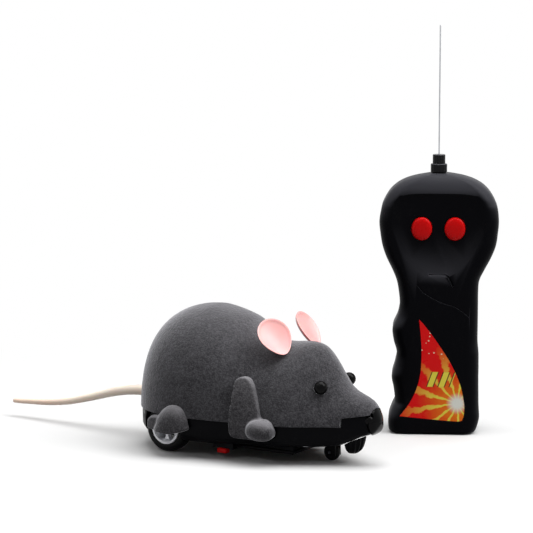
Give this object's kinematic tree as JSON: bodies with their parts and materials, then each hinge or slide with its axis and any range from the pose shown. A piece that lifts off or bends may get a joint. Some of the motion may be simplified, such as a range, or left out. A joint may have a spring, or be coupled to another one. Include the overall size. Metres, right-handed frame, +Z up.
{
  "type": "remote control rat toy",
  "caption": "Flocked toy rat with a droopy tail, driven by its rear wheels and steered by a one-way castor, with an upright two-button radio handset and aerial.",
  "frame": {"origin": "middle of the set's footprint on the surface it stands on", "axes": "+X is the way the rat faces, +Y to the rat's left, where the handset stands, and +Z up"},
  "size_m": [0.2164, 0.1416, 0.1894],
  "materials": {
    "flock": "short dark grey flocking",
    "black_plastic": "smooth black",
    "handset_plastic": "satin black",
    "nose_black": "polished black",
    "ear_pink": "soft pink vinyl",
    "tail_pink": "soft flesh pink vinyl",
    "tyre_rubber": "black rubber",
    "hub_silver": "silvery white",
    "red_plastic": "glossy red",
    "steel": "plain",
    "white_plastic": "natural white",
    "board_green": "green board",
    "label_print": "printed label, red, orange and yellow",
    "cell_sleeve": "plain blue sleeve"
  },
  "bodies": {
    "rat_body": {"gearbox_frame": "white_plastic", "idler_shaft": "steel", "motor": "steel", "body_screw_1": "steel", "body_screw_2": "steel", "body_screw_3": "steel", "body_screw_4": "steel", "upper_shell": "flock", "chassis": "black_plastic", "battery_door": "black_plastic", "door_screw": "steel", "rat_cell_1": "cell_sleeve", "rat_cell_2": "cell_sleeve", "rat_cell_3": "cell_sleeve", "rear_contacts": "steel", "front_contacts": "steel", "receiver_board": "board_green", "power_switch": "steel", "nose": "nose_black", "jaw": "black_plastic", "ear_left": "ear_pink", "eye_left": "nose_black", "ear_right": "ear_pink", "eye_right": "nose_black", "front_leg_left": "flock", "hind_foot_left": "flock", "front_leg_right": "flock", "hind_foot_right": "flock", "tail": "tail_pink"},
    "rear_wheel_set": {"rear_axle": "steel", "axle_gear": "white_plastic", "tyre_left": "tyre_rubber", "tyre_right": "tyre_rubber", "wheel_hub_left": "hub_silver", "wheel_hub_right": "hub_silver"},
    "idler": {"idler_gear": "white_plastic"},
    "pinion": {"motor_pinion": "steel"},
    "castor_swivel_body": {"castor_fork": "black_plastic", "castor_pin": "steel"},
    "castor_roller": {"castor_wheel": "tyre_rubber"},
    "switch_slider": {"switch_knob": "red_plastic"},
    "handset_door": {"handset_battery_cover": "handset_plastic"},
    "right_button": {"button_right": "red_plastic"},
    "left_button": {"button_left": "red_plastic"},
    "handset_body": {"handset_front": "handset_plastic", "handset_back": "handset_plastic", "button_switch_right": "steel", "button_switch_left": "steel", "transmitter_board": "board_green", "handset_cell_1": "cell_sleeve", "handset_cell_2": "cell_sleeve", "handset_lower_contacts": "steel", "handset_upper_contacts": "steel", "handset_screw_1": "steel", "handset_screw_2": "steel", "handset_screw_3": "steel", "label": "label_print", "antenna_collar": "black_plastic", "antenna": "steel"}
  },
  "joints": [
    {"name": "rear_axle_spin", "type": "hinge", "parent": "rat_body", "child": "rear_wheel_set", "pos_m": [-0.00012, -0.03369, 0.0106], "axis": [0, 1, 0], "continuous": true},
    {"name": "idler_spin", "type": "hinge", "parent": "rat_body", "child": "idler", "pos_m": [-0.00316, -0.02229, 0.01713], "axis": [0, 1, 0], "continuous": true},
    {"name": "pinion_spin", "type": "hinge", "parent": "rat_body", "child": "pinion", "pos_m": [-0.0013, -0.03454, 0.02408], "axis": [0, 1, 0], "continuous": true},
    {"name": "castor_swivel", "type": "hinge", "parent": "rat_body", "child": "castor_swivel_body", "pos_m": [0.07328, -0.03369, 0.0038], "axis": [0, 0, 1], "range_deg": [0, 45]},
    {"name": "castor_wheel_spin", "type": "hinge", "parent": "castor_swivel_body", "child": "castor_roller", "pos_m": [0.07168, -0.03369, 0.0038], "axis": [0, 1, 0], "continuous": true},
    {"name": "power_switch_slide", "type": "slide", "parent": "rat_body", "child": "switch_slider", "axis": [1, 0, 0], "range_m": [0, 0.002]},
    {"name": "handset_lift", "type": "slide", "parent": "rat_body", "child": "handset_body", "axis": [0, 0, 1], "range_m": [0, 0.1]},
    {"name": "handset_door_off", "type": "slide", "parent": "handset_body", "child": "handset_door", "axis": [-0.4741, 0.8805, 0], "range_m": [0, 0.015]},
    {"name": "right_button_press", "type": "slide", "parent": "handset_body", "child": "right_button", "axis": [-0.4741, 0.8805, 0], "range_m": [0, 0.0009], "stiffness_N_per_m": 300, "springref_m": -0.0005},
    {"name": "left_button_press", "type": "slide", "parent": "handset_body", "child": "left_button", "axis": [-0.4741, 0.8805, 0], "range_m": [0, 0.0009], "stiffness_N_per_m": 300, "springref_m": -0.0005}
  ],
  "couplings": [
    {"joint": "idler_spin", "follows": "rear_axle_spin", "ratio": -1},
    {"joint": "pinion_spin", "follows": "rear_axle_spin", "ratio": 2.5}
  ]
}
